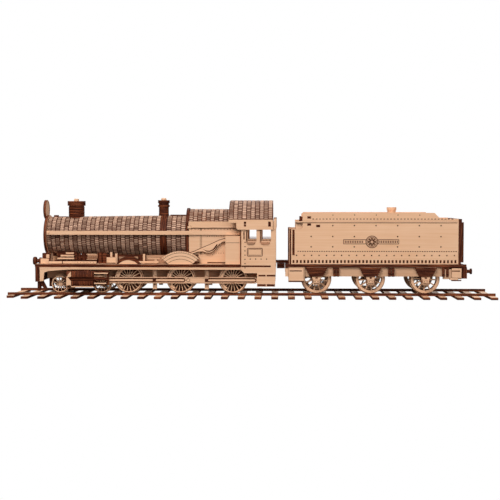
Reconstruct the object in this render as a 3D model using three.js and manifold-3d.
// Plywood steam locomotive with a six-wheel tender on a two-section wooden track.
// Millimetres. +X is the front of the locomotive, +Y its left side, +Z up; the origin lies under the
// middle of the track, on the surface that the sleepers stand on.
import * as THREE from 'three';
import { mergeVertices } from 'three/addons/utils/BufferGeometryUtils.js';
import Module from 'manifold-3d';

const wasm = await Module();
wasm.setup();

// ---- driving dimensions -------------------------------------------------------------------------
const PLY = 3;
const GAP = 0.1;                 // between pieces that rest flat on each other
const CLEAR = 0.3;               // between a curved piece and the piece cut to fit it
const BORE = 0.35;               // running clearance of an axle or a pin in its hole

const TRACK = { half: 300, sleepers: 15, pitch: 20.3, sleeperWidth: 8.4, sleeperHalf: 57.5,
                gauge: 33, railHalf: 1.5, top: 6, notch: 0.5 };
const LIFT = 0.1;                // tread above the rail top

const WHEEL_FACE = 35.2;         // the wheels' outer faces, from the middle plane
const DRIVING = { r: 17, spokes: 8, hub: 4.2, rim: 13.6, axle: 3, x: [149.4, 85.3, 21.2] };
const BOGIE = { r: 10.4, axle: 2, face: 34.6, x: [234.5, 182.8] };
const TENDER = { r: 17.5, axle: 3, face: WHEEL_FACE, x: [-81.3, -147.0, -213.7] };
const FLANGE = 1.2;
const WHEEL_Y = { back: 27.3, flange: 30.3, face: WHEEL_FACE };
const CRANK = { throw: 9.65, dip: 8, pin: 2 };      // the dip is in degrees below the rearward line
const ROD = { inner: 36, outer: 38.7, half: 4, front: 176.9, rear: -9.9 };

const DECK = { front: 264, rear: -32, bottom: 38.4, top: 41.4, half: 42 };
const VALANCE = { inner: 39.3, bottom: 34.9, rear: 10, slope: 224, low: 32.6, leg: 253.2, legFront: 258.2, legBottom: 20.4 };
const BOILER = { front: 253.4, rear: 80, rFront: 22.4, rRear: 25.6, zFront: 76, zRear: 74.8 };
const SMOKEBOX = { plate: 25, rear: 253.7, front: 256.7, door: 17, footHalf: 14 };
const CHIMNEY = { x: 220, shaft: 9.7, cap: 11.2, capLow: 112.9, capTop: 118.7, top: 121.7 };
const VALVE = { x: 109.5, shaft: 6.2, cap: 7.4, capLow: 111.6, capTop: 119.8, top: 122.5 };
const HANDRAIL = { rear: 12, front: 252, inner: 27.3, outer: 29.5, bottom: 77.2, top: 82, posts: [246, 190, 128] };
const BADGE = { radius: 12, z: 108, rear: 256.9, front: 259.9 };
const FIREBOX = { front: 76.4, rear: 11.9, half: 27, shoulder: 92, peak: 108.4 };
const CAB = { front: 10.4, rear: -31.7, bottom: 31, top: 92.7, roofFront: 25.7, roofRear: -28,
              roofHalf: 44.6, eaves: 94.7, peak: 119.3, wall: PLY };
const TANK = { front: -56, rear: -252.9, half: 38.8, top: 96.5 };
const TDECK = { front: -43, rear: -263, bottom: 38.6, top: 40.8 };

const COLOUR = { birch: 0xe3bb8f, brick: 0xc6906b, burnt: 0x5c2f1c, rod: 0xecca9f };

// ---- solids ---------------------------------------------------------------------------------------
const object = new THREE.Group();

/** A Manifold solid of a closed three.js geometry. */
function solid(geometry) {
  const plain = geometry.clone();
  plain.deleteAttribute('normal');
  plain.deleteAttribute('uv');
  const merged = mergeVertices(plain, 1e-5);
  return new wasm.Manifold(new wasm.Mesh({
    numProp: 3,
    vertProperties: new Float32Array(merged.attributes.position.array),
    triVerts: new Uint32Array(merged.index.array),
  }));
}

/** The three.js geometry of a Manifold solid. */
function geometryOf(manifold) {
  const mesh = manifold.getMesh();
  const geometry = new THREE.BufferGeometry();
  geometry.setAttribute('position', new THREE.BufferAttribute(Float32Array.from(mesh.vertProperties), 3));
  geometry.setIndex(new THREE.BufferAttribute(Uint32Array.from(mesh.triVerts), 1));
  const flat = geometry.toNonIndexed();
  flat.computeVertexNormals();
  return flat;
}

/** One geometry of several that overlap. */
function join(...geometries) {
  const first = solid(geometries[0]);
  return geometryOf(geometries.slice(1).reduce((sum, next) => sum.add(solid(next)), first));
}

/** The first geometry without the others. */
function cut(geometry, ...tools) {
  return geometryOf(tools.reduce((left, tool) => left.subtract(solid(tool)), solid(geometry)));
}

/** Adds one named piece to the object. */
function piece(name, geometry, colour = COLOUR.birch, roughness = 0.75) {
  const material = new THREE.MeshStandardMaterial({ color: colour, roughness, metalness: 0 });
  const mesh = new THREE.Mesh(geometry, material);
  mesh.name = name;
  object.add(mesh);
}

/** A box from its limits on each axis, in any order. */
function box(x0, x1, y0, y1, z0, z1) {
  const size = [Math.abs(x1 - x0), Math.abs(y1 - y0), Math.abs(z1 - z0)];
  return new THREE.BoxGeometry(...size).translate((x0 + x1) / 2, (y0 + y1) / 2, (z0 + z1) / 2);
}

/** A straight-sided outline through the points given. */
function outline(points) {
  return new THREE.Shape(points.map(([u, v]) => new THREE.Vector2(u, v)));
}

/** A round outline with an optional round hole. */
function disc(u, v, radius, hole = 0) {
  const shape = new THREE.Shape();
  shape.absarc(u, v, radius, 0, 2 * Math.PI);
  if (hole > 0) {
    shape.holes.push(new THREE.Path().absarc(u, v, hole, 0, 2 * Math.PI, true));
  }
  return shape;
}

const ACROSS = new THREE.Matrix4().makeBasis(
  new THREE.Vector3(1, 0, 0), new THREE.Vector3(0, 0, 1), new THREE.Vector3(0, -1, 0));
const ALONG = new THREE.Matrix4().makeBasis(
  new THREE.Vector3(0, 1, 0), new THREE.Vector3(0, 0, 1), new THREE.Vector3(1, 0, 0));

/** An outline in X and Z carried across from y0 to y1. */
function across(shape, y0, y1, curveSegments = 12) {
  const depth = Math.abs(y1 - y0);
  const geometry = new THREE.ExtrudeGeometry(shape, { depth, bevelEnabled: false, curveSegments });
  return geometry.applyMatrix4(ACROSS).translate(0, Math.max(y0, y1), 0);
}

/** An outline in Y and Z carried along from x0 to x1. */
function along(shape, x0, x1, curveSegments = 12) {
  const depth = Math.abs(x1 - x0);
  const geometry = new THREE.ExtrudeGeometry(shape, { depth, bevelEnabled: false, curveSegments });
  return geometry.applyMatrix4(ALONG).translate(Math.min(x0, x1), 0, 0);
}

/** A round bar across the object, from y0 to y1. */
function pinAcross(x, z, radius, y0, y1, segments = 20) {
  const bar = new THREE.CylinderGeometry(radius, radius, Math.abs(y1 - y0), segments);
  return bar.translate(x, (y0 + y1) / 2, z);
}

/** A round upright from z0 to z1. */
function post(x, y, radius, z0, z1, segments = 20) {
  const bar = new THREE.CylinderGeometry(radius, radius, z1 - z0, segments);
  return bar.rotateX(Math.PI / 2).translate(x, y, (z0 + z1) / 2);
}

/** The tapered barrel, or with growth the room that it takes up, between two places along X. */
function barrel(x0, x1, growth = 0, segments = 40) {
  const share = (x) => (x - BOILER.rear) / (BOILER.front - BOILER.rear);
  const radius = (x) => BOILER.rRear + (BOILER.rFront - BOILER.rRear) * share(x) + growth;
  const height = (x) => BOILER.zRear + (BOILER.zFront - BOILER.zRear) * share(x);
  const profile = [[0, x0], [radius(x0), x0], [radius(x1), x1], [0, x1]];
  const turned = new THREE.LatheGeometry(profile.map(([r, x]) => new THREE.Vector2(r, x)), segments);
  turned.rotateZ(-Math.PI / 2);
  const lean = new THREE.Matrix4().set(
    1, 0, 0, 0,
    0, 1, 0, 0,
    (height(x1) - height(x0)) / (x1 - x0), 0, 1, height(0),
    0, 0, 0, 1);
  return turned.applyMatrix4(lean);
}

/** The outline under an arch: sides up to the shoulder, then an arc to the peak. */
function archOutline(half, bottom, shoulder, peak) {
  const rise = peak - shoulder;
  const radius = (half * half + rise * rise) / (2 * rise);
  const start = Math.asin((radius - rise) / radius);
  const shape = new THREE.Shape();
  shape.moveTo(-half, bottom);
  shape.lineTo(half, bottom);
  shape.lineTo(half, shoulder);
  shape.absarc(0, peak - radius, radius, start, Math.PI - start);
  return shape;
}

const SIDES = [['left', 1], ['right', -1]];
const radians = THREE.MathUtils.degToRad;

// ---- track ------------------------------------------------------------------------------------------
/** One track section: sleepers with both rails let into them, and at the joint the two rail plates. */
function trackSection(direction, withPlates) {
  const pieces = [];
  for (let i = 0; i < TRACK.sleepers; i += 1) {
    const x = direction * TRACK.pitch * (i + 0.5);
    const isFrontEnd = direction > 0 && i === TRACK.sleepers - 1;
    const reach = isFrontEnd ? TRACK.sleeperHalf - 12 : TRACK.sleeperHalf;
    const half = TRACK.sleeperWidth / 2;
    pieces.push(box(x - half, x + half, -reach, reach, 0, PLY));
  }
  for (const [, side] of SIDES) {
    const inner = side * (TRACK.gauge - TRACK.railHalf);
    const outer = side * (TRACK.gauge + TRACK.railHalf);
    const start = direction * CLEAR / 2;
    pieces.push(box(start, direction * TRACK.half, inner, outer, PLY - TRACK.notch, TRACK.top));
    if (withPlates) {
      pieces.push(box(0.3, 21, outer - side * 0.2, outer + side * PLY, PLY - TRACK.notch, TRACK.top));
      pieces.push(box(-14, 0.5, outer + side * CLEAR, outer + side * PLY, PLY + GAP, TRACK.top));
    }
  }
  return join(...pieces);
}
piece('track_front_section', trackSection(1, true));
piece('track_rear_section', trackSection(-1, false));

// ---- wheels -----------------------------------------------------------------------------------------
/** A spoked ply wheel with its flange on the inner side, bored for its axle. */
function spokedWheel(kind, x, side) {
  const z = TRACK.top + LIFT + kind.r;
  const face = disc(x, z, kind.r);
  const step = 2 * Math.PI / kind.spokes;
  const spokeHalf = 0.9;
  for (let i = 0; i < kind.spokes; i += 1) {
    const middle = (i + 0.5) * step;
    const inner = step / 2 - spokeHalf / kind.hub;
    const outer = step / 2 - spokeHalf / kind.rim;
    const corner = (r, angle) => [x + r * Math.cos(middle + angle), z + r * Math.sin(middle + angle)];
    const hole = [corner(kind.hub + 0.5, -inner), corner(kind.hub + 0.5, inner),
                  corner(kind.rim, outer), corner(kind.rim, -outer)];
    face.holes.push(new THREE.Path(hole.map(([u, v]) => new THREE.Vector2(u, v))));
  }
  const flange = disc(x, z, kind.r + FLANGE, kind.rim - 0.4);
  return [
    across(face, side * (WHEEL_Y.flange - 0.2), side * WHEEL_Y.face, 11),
    across(flange, side * WHEEL_Y.back, side * WHEEL_Y.flange, 11),
    across(disc(x, z, kind.rim + 0.2), side * (WHEEL_Y.back + 0.6), side * (WHEEL_Y.flange + 0.3), 11),
  ];
}

/** The place of the crank pin of a driving wheel. */
function crankPin(x) {
  const angle = radians(180 + CRANK.dip);
  const z = TRACK.top + LIFT + DRIVING.r;
  return [x + CRANK.throw * Math.cos(angle), z + CRANK.throw * Math.sin(angle)];
}

DRIVING.x.forEach((x, index) => {
  const z = TRACK.top + LIFT + DRIVING.r;
  const [pinX, pinZ] = crankPin(x);
  for (const [name, side] of SIDES) {
    const pin = pinAcross(pinX, pinZ, CRANK.pin, side * (WHEEL_Y.flange + 0.5), side * (ROD.outer + 0.3), 12);
    const wheel = join(...spokedWheel(DRIVING, x, side), pin);
    const bore = pinAcross(x, z, DRIVING.axle + BORE, side * (WHEEL_Y.back - 1),
                           side * (WHEEL_Y.face + 1), 12);
    piece(`driving_wheel_${index + 1}_${name}`, cut(wheel, bore));
  }
  piece(`driving_axle_${index + 1}`, pinAcross(x, z, DRIVING.axle, -WHEEL_Y.face, WHEEL_Y.face, 12),
        COLOUR.burnt);
});

/** Two plain flanged wheels on their axle, turned as one profile round it. */
function wheelset(kind, x, axleEnd, segments) {
  const half = [[0, axleEnd], [kind.axle, axleEnd], [kind.axle, kind.face], [kind.r, kind.face],
                [kind.r, WHEEL_Y.flange], [kind.r + FLANGE, WHEEL_Y.flange],
                [kind.r + FLANGE, WHEEL_Y.back], [kind.axle, WHEEL_Y.back]];
  const profile = [...half.map(([r, y]) => [r, -y]), ...half.reverse()];
  const turned = new THREE.LatheGeometry(profile.map(([r, y]) => new THREE.Vector2(r, y)), segments);
  return turned.translate(x, 0, TRACK.top + LIFT + kind.r);
}
BOGIE.x.forEach((x, index) => piece(`bogie_wheelset_${index + 1}`, wheelset(BOGIE, x, BOGIE.face + 0.1, 20)));
TENDER.x.forEach((x, index) => piece(`tender_wheelset_${index + 1}`, wheelset(TENDER, x, 38, 24)));

// ---- side rods and piston rods ------------------------------------------------------------------------
for (const [name, side] of SIDES) {
  const z = crankPin(0)[1];
  const bar = outline([[ROD.rear, z - ROD.half], [ROD.front, z - ROD.half],
                       [ROD.front, z + ROD.half], [ROD.rear, z + ROD.half]]);
  for (const x of DRIVING.x) {
    bar.holes.push(new THREE.Path().absarc(crankPin(x)[0], z, CRANK.pin + BORE, 0, 2 * Math.PI, true));
  }
  piece(`side_rod_${name}`, across(bar, side * ROD.inner, side * ROD.outer, 6), COLOUR.rod);
}

const CYLINDER = { front: 217.7, rear: 191.1, plate: 224, inner: 39.3, outer: 47, z: 23.4, half: 9.6 };
const PISTON = { inner: 41.3, outer: 44.3, low: 22, high: 25.2, front: 227, rear: 174 };
for (const [name, side] of SIDES) {
  piece(`piston_rod_${name}`, box(PISTON.rear, PISTON.front, side * PISTON.inner, side * PISTON.outer,
                                  PISTON.low, PISTON.high), COLOUR.burnt);
}

// ---- locomotive frame and bogie -------------------------------------------------------------------------
const FRAME = { inner: 15, outer: 18, front: 254, rear: -30, bottom: 17, raised: 23, step: 168, top: 38.3 };
const PIVOT = { x: (BOGIE.x[0] + BOGIE.x[1]) / 2, pin: 3, half: 12, low: 24, high: 27 };
{
  const pieces = [];
  for (const [, side] of SIDES) {
    const plate = outline([[FRAME.rear, FRAME.bottom], [FRAME.step, FRAME.bottom],
                           [FRAME.step + 8, FRAME.raised], [FRAME.front, FRAME.raised],
                           [FRAME.front, FRAME.top], [FRAME.rear, FRAME.top]]);
    for (const x of DRIVING.x) {
      const z = TRACK.top + LIFT + DRIVING.r;
      plate.holes.push(new THREE.Path().absarc(x, z, DRIVING.axle + BORE, 0, 2 * Math.PI, true));
    }
    pieces.push(across(plate, side * FRAME.inner, side * FRAME.outer, 6));
  }
  for (const x of [FRAME.rear + PLY, 53.2, 117.3, FRAME.front - PLY]) {
    pieces.push(box(x - PLY / 2, x + PLY / 2, -FRAME.inner - 0.5, FRAME.inner + 0.5, FRAME.raised, FRAME.top));
  }
  const bearer = box(PIVOT.x - PIVOT.half, PIVOT.x + PIVOT.half, -FRAME.inner - 0.5, FRAME.inner + 0.5,
                     PIVOT.low, PIVOT.high);
  pieces.push(cut(bearer, post(PIVOT.x, 0, PIVOT.pin + BORE, PIVOT.low - 1, PIVOT.high + 1)));
  piece('loco_frame', join(...pieces), COLOUR.brick);
}
{
  const z = TRACK.top + LIFT + BOGIE.r;
  const pieces = [];
  for (const [, side] of SIDES) {
    const plate = outline([[176, 13.5], [241.3, 13.5], [241.3, 20], [224, 21], [192, 21], [176, 20]]);
    for (const x of BOGIE.x) {
      plate.holes.push(new THREE.Path().absarc(x, z, BOGIE.axle + BORE, 0, 2 * Math.PI, true));
    }
    pieces.push(across(plate, side * 19.5, side * 22.5, 6));
  }
  pieces.push(box(PIVOT.x - 9, PIVOT.x + 9, -20, 20, 17.8, 20.8));
  pieces.push(post(PIVOT.x, 0, PIVOT.pin, 20, 30));
  piece('bogie_frame', join(...pieces), COLOUR.brick);
}

// ---- running plate, beam and buffers ------------------------------------------------------------------------
const SLOT = { inner: 26.8, outer: 35.8, half: 13 };
const HANGERS = { x: [117.3, 53.2], half: 2.5, inner: 31, outer: 34, bottom: 10.4 };
const DRAWBAR = { half: 7, rear: -50, front: -16, pins: [-46.5, -20], pin: 2, blockHalf: 20, blockBottom: 35.5 };
const BEAM = { rear: 259, front: 263.6, bottom: 19.8, ironInner: 31.5, ironOuter: 34.5 };
const BUFFER = { y: 30, z: 44.9, housingHalf: 4, housingRear: 248, housingTop: 48.3, shank: 3, head: 5 };
{
  const plate = box(DECK.rear, DECK.front, -DECK.half, DECK.half, DECK.bottom, DECK.top);
  const slots = [];
  const trim = [];
  for (const [, side] of SIDES) {
    for (const x of DRIVING.x) {
      slots.push(box(x - SLOT.half, x + SLOT.half, side * SLOT.inner, side * SLOT.outer,
                     DECK.bottom - 1, DECK.top + 1));
    }
    const valance = outline([[VALANCE.rear, VALANCE.bottom], [VALANCE.slope, VALANCE.bottom],
                             [VALANCE.leg, VALANCE.low], [VALANCE.leg, VALANCE.legBottom],
                             [VALANCE.legFront, VALANCE.legBottom], [VALANCE.legFront, DECK.bottom + 0.2],
                             [VALANCE.rear, DECK.bottom + 0.2]]);
    trim.push(across(valance, side * VALANCE.inner, side * DECK.half));
    for (const x of HANGERS.x) {
      trim.push(box(x - HANGERS.half, x + HANGERS.half, side * HANGERS.inner, side * HANGERS.outer,
                    HANGERS.bottom, DECK.bottom + 0.2));
    }
  }
  slots.push(post(DRAWBAR.pins[1], 0, DRAWBAR.pin + BORE, DECK.bottom - 1, DECK.top + 1));
  piece('running_plate', join(cut(plate, ...slots), ...trim), COLOUR.birch);

  const beam = [box(BEAM.rear, BEAM.front, -DECK.half, DECK.half, BEAM.bottom, DECK.bottom - GAP)];
  for (const [, side] of SIDES) {
    const irons = outline([[262.6, 8], [262.6, 20.5], [255.5, 20.5], [250.4, 10.6], [253, 8.6], [257.6, 14.6], [259.4, 8]]);
    beam.push(across(irons, side * BEAM.ironInner, side * BEAM.ironOuter));
  }
  piece('front_buffer_beam', join(...beam), COLOUR.burnt);
  for (const [name, side] of SIDES) {
    const y = side * BUFFER.y;
    const round = (radius, length, x, segments) =>
      new THREE.CylinderGeometry(radius, radius, length, segments).rotateZ(Math.PI / 2).translate(x, y, BUFFER.z);
    const shank = round(BUFFER.shank, 8.5, 262.25, 20);
    const head = round(BUFFER.head, 3, 266.8, 28);
    const housing = box(BUFFER.housingRear, BEAM.rear, y - BUFFER.housingHalf, y + BUFFER.housingHalf,
                        DECK.top + GAP, BUFFER.housingTop);
    piece(`front_buffer_${name}`, join(housing, shank, head));
  }
}

// ---- boiler, smokebox and fittings ---------------------------------------------------------------------------
piece('boiler_barrel', barrel(BOILER.rear, BOILER.front), COLOUR.brick);
piece('boiler_band', cut(barrel(103.7, 111.7, 1.8), barrel(100, 115, CLEAR)), COLOUR.burnt);
piece('smokebox_saddle', cut(join(
  box(218, 245, -16, 16, DECK.top + GAP, 49),
  box(222, 241, -16, 16, 48, 62)), barrel(200, BOILER.front, CLEAR)), COLOUR.burnt);
piece('smokebox_front_plate', join(
  along(disc(0, BOILER.zFront, SMOKEBOX.plate), SMOKEBOX.rear, SMOKEBOX.front, 18),
  box(SMOKEBOX.rear, SMOKEBOX.front, -SMOKEBOX.footHalf, SMOKEBOX.footHalf, DECK.top + GAP, 60)), COLOUR.burnt);
{
  const door = new THREE.LatheGeometry(
    [[0, 0.1], [SMOKEBOX.door, 0.1], [SMOKEBOX.door, 1.4], [15.5, 2.4], [1.8, 3], [1.8, 6.4], [0, 6.4]]
      .map(([r, x]) => new THREE.Vector2(r, SMOKEBOX.front + x)), 32);
  piece('smokebox_door', door.rotateZ(-Math.PI / 2).translate(0, 0, BOILER.zFront), COLOUR.birch);
}
piece('headboard', along(disc(0, BADGE.z, BADGE.radius), BADGE.rear, BADGE.front, 14), COLOUR.birch);
{
  const { x, shaft, cap, capLow, capTop, top } = CHIMNEY;
  const funnel = join(post(x, 0, shaft, 92, capLow + 0.3, 28), post(x, 0, cap, capLow, capTop, 28),
                      box(x - 2.4, x + 2.6, -4, 4, capTop - 0.5, top));
  piece('chimney', cut(funnel, barrel(200, 240, CLEAR)), COLOUR.burnt);
}
{
  const { x, shaft, cap, capLow, capTop, top } = VALVE;
  const bonnet = join(post(x, 0, shaft, 96, capLow + 0.4, 24), post(x, 0, cap, capLow, capTop, 24),
                      box(x - 2.5, x + 2.5, -3, 3, capTop - 0.3, top));
  piece('safety_valve', cut(bonnet, barrel(95, 125, 1.8 + CLEAR)), COLOUR.burnt);
}
for (const [name, side] of SIDES) {
  const strip = box(HANDRAIL.rear, HANDRAIL.front, side * HANDRAIL.inner, side * HANDRAIL.outer,
                    HANDRAIL.bottom, HANDRAIL.top);
  const posts = HANDRAIL.posts.map((x) => box(x - 1.5, x + 1.5, side * 18, side * 28, 77.8, 80.2));
  piece(`handrail_${name}`, cut(join(strip, ...posts), barrel(100, 253, CLEAR)), COLOUR.birch);
}

// ---- firebox -----------------------------------------------------------------------------------------------
piece('firebox_front_plate', along(archOutline(FIREBOX.half, DECK.top + GAP, FIREBOX.shoulder, 110), 76.6, 79.6),
      COLOUR.burnt);
piece('firebox', box(FIREBOX.rear, FIREBOX.front, -FIREBOX.half, FIREBOX.half, DECK.top + GAP, FIREBOX.shoulder));
piece('firebox_roof', along(
  archOutline(FIREBOX.half, FIREBOX.shoulder + GAP, FIREBOX.shoulder + GAP + 0.5, FIREBOX.peak),
  FIREBOX.rear, FIREBOX.front, 10), COLOUR.brick);

// ---- splashers and side boxes --------------------------------------------------------------------------------
const SPLASHER = { inner: 27.4, outer: 39, fan: 34.4, foot: 14.7, fanAngle: 48.7, dome: 14.6, domeTop: 51 };
const SIDE_BOX = { rear: 12, front: 30, top: 76 };
for (const [name, side] of SIDES) {
  const z = TRACK.top + LIFT + DRIVING.r;
  const bottom = DECK.top + GAP;
  const fan = new THREE.Shape();
  fan.moveTo(DRIVING.x[1] - SPLASHER.foot, bottom);
  fan.lineTo(DRIVING.x[1] + SPLASHER.foot, bottom);
  fan.absarc(DRIVING.x[1], z, SPLASHER.fan, radians(SPLASHER.fanAngle), radians(180 - SPLASHER.fanAngle));
  piece(`center_splasher_${name}`, across(fan, side * SPLASHER.inner, side * SPLASHER.outer, 10));

  const rise = SPLASHER.domeTop - bottom;
  const radius = (SPLASHER.dome ** 2 + rise ** 2) / (2 * rise);
  const start = Math.asin((radius - rise) / radius);
  const dome = new THREE.Shape();
  dome.absarc(DRIVING.x[0], SPLASHER.domeTop - radius, radius, start, Math.PI - start);
  piece(`front_splasher_${name}`, across(dome, side * SPLASHER.inner, side * SPLASHER.outer, 8), COLOUR.burnt);

  piece(`side_box_${name}`, box(SIDE_BOX.rear, SIDE_BOX.front, side * SPLASHER.inner, side * SPLASHER.outer,
                                bottom, SIDE_BOX.top));
}

// ---- cab ---------------------------------------------------------------------------------------------------
const WINDOWS = [[-8.1, 3.8], [-25.7, -13.2]];
for (const [name, side] of SIDES) {
  const panel = outline([[CAB.rear, 36], [-30.8, 14.5], [-8.8, 14.5], [-8.8, CAB.bottom], [7, CAB.bottom],
                         [CAB.front, CAB.bottom + 3.5], [CAB.front, CAB.top], [CAB.rear, CAB.top]]);
  const inner = DECK.half + GAP;
  const windows = WINDOWS.map(([x0, x1]) => box(x0, x1, side * (inner - 1), side * (inner + 3), 69, 84));
  piece(`cab_side_${name}`, cut(across(panel, side * inner, side * (inner + 2)), ...windows));
}
{
  const half = DECK.half - GAP;
  const front = archOutline(half, DECK.top + GAP, CAB.eaves - 3, CAB.peak - PLY - 1.5);
  const windows = SIDES.map(([, side]) => along(disc(side * 33.5, 86, 4.5), 8, 12, 8));
  piece('cab_front', cut(along(front, 8.6, 11.6, 12), ...windows));

  const rise = CAB.peak - CAB.eaves;
  const radius = (CAB.roofHalf ** 2 + rise ** 2) / (2 * rise);
  const start = Math.asin((radius - rise) / radius);
  const shell = new THREE.Shape();
  shell.absarc(0, CAB.peak - radius, radius, start, Math.PI - start);
  shell.absarc(0, CAB.peak - radius, radius - PLY, Math.PI - start, start, true);
  const roof = [along(shell, CAB.roofRear, CAB.roofFront, 14)];
  for (const [, side] of SIDES) {
    const eaves = outline([[CAB.roofRear, 84], [14.6, 84], [16.4, 86], [16.4, 92.4], [CAB.roofFront, 92.4],
                           [CAB.roofFront, CAB.eaves + 1.5], [CAB.roofRear, CAB.eaves + 1.5]]);
    roof.push(across(eaves, side * 44.2, side * 46.2));
  }
  piece('cab_roof', join(...roof), COLOUR.brick);
}

// ---- cylinders -----------------------------------------------------------------------------------------------
for (const [name, side] of SIDES) {
  const { inner, outer, z, half } = CYLINDER;
  const section = outline([[side * inner, z - half], [side * (outer - 3), z - half], [side * outer, z - half + 4],
                           [side * outer, z + half - 4], [side * (outer - 3), z + half], [side * inner, z + half]]);
  const body = join(
    along(section, CYLINDER.rear, CYLINDER.plate),
    box(196, 212, side * 39.5, side * 41.8, z + half - 0.5, VALANCE.bottom - GAP),
    box(173, 192, side * 39.5, side * 42, 31, 32.8),
    box(173, 192, side * 39.5, side * 42, 16.5, 18.5),
    box(CYLINDER.rear - 18, CYLINDER.rear - 16, side * 39.5, side * 41, 16.5, 32.8));
  const slide = box(165, 230, side * (PISTON.inner - CLEAR), side * (outer + 1), PISTON.low - 0.6, PISTON.high + 0.6);
  piece(`cylinder_${name}`, cut(body, slide), COLOUR.burnt);
}

// ---- drawbar and tender ----------------------------------------------------------------------------------------
piece('drawbar', join(
  box(DRAWBAR.rear, DRAWBAR.front, -DRAWBAR.half, DRAWBAR.half, DECK.top + 0.2, DECK.top + 0.2 + PLY),
  box(-42.6, -33, -DRAWBAR.blockHalf, DRAWBAR.blockHalf, DRAWBAR.blockBottom, DECK.top + 0.4),
  ...DRAWBAR.pins.map((x) => post(x, 0, DRAWBAR.pin, 37.5, DECK.top + 1, 16))), COLOUR.burnt);
{
  const deck = box(TDECK.rear, TDECK.front, -DECK.half, DECK.half, TDECK.bottom, TDECK.top);
  const holes = [post(DRAWBAR.pins[0], 0, DRAWBAR.pin + BORE, TDECK.bottom - 1, TDECK.top + 1)];
  const pockets = [];
  for (const [, side] of SIDES) {
    for (const x of TENDER.x) {
      const limits = [x - SLOT.half, x + SLOT.half, side * SLOT.inner, side * SLOT.outer];
      holes.push(box(...limits, TDECK.bottom - 1, TDECK.top + 1));
      pockets.push(box(...limits, TDECK.top - 1, 43.6));
    }
  }
  piece('tender_footplate', cut(deck, ...holes), COLOUR.birch);

  const tank = box(TANK.rear, TANK.front, -TANK.half, TANK.half, TDECK.top + GAP, 93);
  const coal = box(-166, -66, -30, 30, 58, 99);
  const filler = join(post(-176.2, 0, 5.2, 90, 108, 24), post(-176.2, 0, 6, 107, 111, 24));
  piece('tender_tank', join(cut(tank, coal, ...pockets), filler), COLOUR.birch);
}
for (const [name, side] of SIDES) {
  const panel = new THREE.Shape([[-48, TDECK.top + GAP], [-48, 84.8], [-61.6, 84.8], [-64.2, 86.8],
    [-64.2, 102], [-66.7, 104.5], [-224, 104.5], [-230.5, 97.6], [-252.9, 97.4], [-252.9, TDECK.top + GAP]]
    .map(([u, v]) => new THREE.Vector2(u, v)));
  piece(`tender_side_${name}`, across(panel, side * (TANK.half + GAP), side * (DECK.half - 0.1)));

  const layers = [[12.5, 38.5, 34.9], [11.5, 35, 32.4], [10, 32.5, 30], [8, 30.1, 27.5], [5.4, 27.6, 18]];
  const frame = [box(-63, -236, side * 36.5, side * 39.5, 26.9, TDECK.bottom - GAP)];
  for (const x of TENDER.x) {
    frame.push(...layers.map(([half, top, low]) =>
      box(x - half, x + half, side * 39.3, side * 42, low, Math.min(top, TDECK.bottom - GAP))));
    frame.push(box(x - 5.4, x + 5.4, side * 36.5, side * 40, 18, 27.4));
  }
  frame.push(box(-47, -67, side * 36.5, side * 42, 20, TDECK.bottom - GAP));
  frame.push(box(-235, -257, side * 36.5, side * 42, 24, 36));
  const bores = TENDER.x.map((x) =>
    pinAcross(x, TRACK.top + LIFT + TENDER.r, TENDER.axle + BORE, side * 35, side * 38.5, 12));
  piece(`tender_frame_${name}`, cut(join(...frame), ...bores), COLOUR.birch);
}
piece('tender_rear_plate', across(outline([[-253.1, TDECK.top + GAP], [-254, 97], [-257, 97],
  [-256.1, TDECK.top + GAP]]), -DECK.half + 0.1, DECK.half - 0.1), COLOUR.burnt);
{
  const beam = [box(-257.5, -263.6, -DECK.half, DECK.half, 24.7, TDECK.bottom - GAP)];
  for (const [, side] of SIDES) {
    const shank = new THREE.CylinderGeometry(2.2, 2.2, 8, 16).rotateZ(Math.PI / 2);
    const head = new THREE.CylinderGeometry(3.5, 3.5, 2.2, 24).rotateZ(Math.PI / 2);
    beam.push(shank.translate(-266, side * 30, 32.8));
    beam.push(head.translate(-270.2, side * 30, 32.8));
  }
  piece('tender_rear_beam', join(...beam), COLOUR.burnt);
}

export default object;
